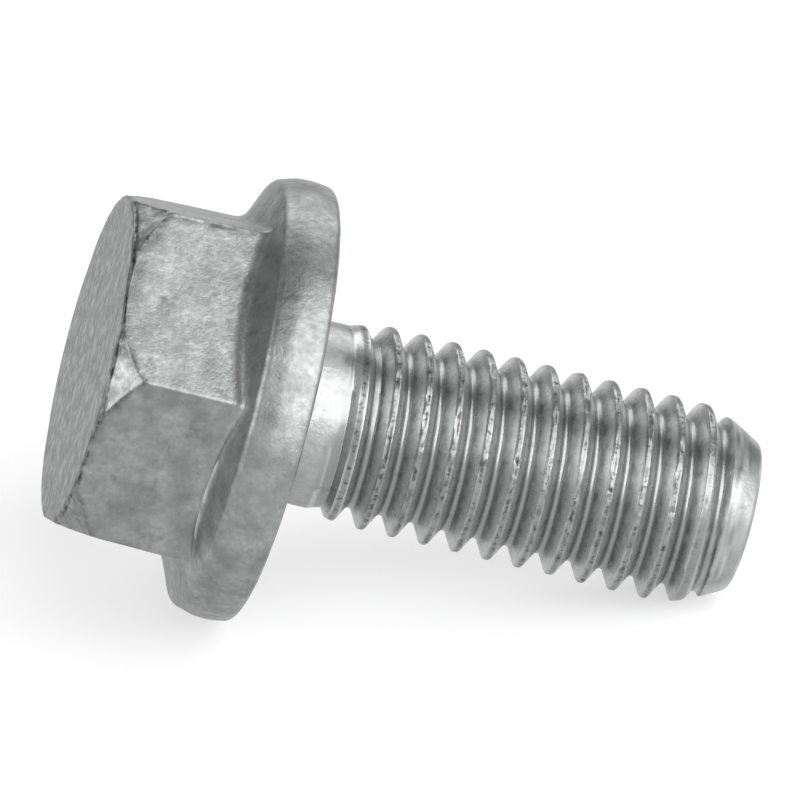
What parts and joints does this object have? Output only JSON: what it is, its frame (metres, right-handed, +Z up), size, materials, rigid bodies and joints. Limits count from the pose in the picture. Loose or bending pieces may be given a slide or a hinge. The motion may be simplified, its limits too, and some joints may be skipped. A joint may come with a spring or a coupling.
{
  "type": "hexagon flange screw",
  "caption": "Coated steel machine screw with an external hexagon drive, a forged washer flange, a short plain shank and a coarse metric thread to a tapered point.",
  "frame": {"origin": "on the floor, under the middle of the lying screw's bounding box", "axes": "+X along the floor toward the screw's point, +Z up; the screw's own axis lies in the XZ plane and drops 16 degrees toward +X"},
  "size_m": [0.0276, 0.0172, 0.0169],
  "materials": {
    "zinc_flake": "matt"
  },
  "bodies": {
    "root": {"flange_screw": "zinc_flake"}
  },
  "joints": []
}
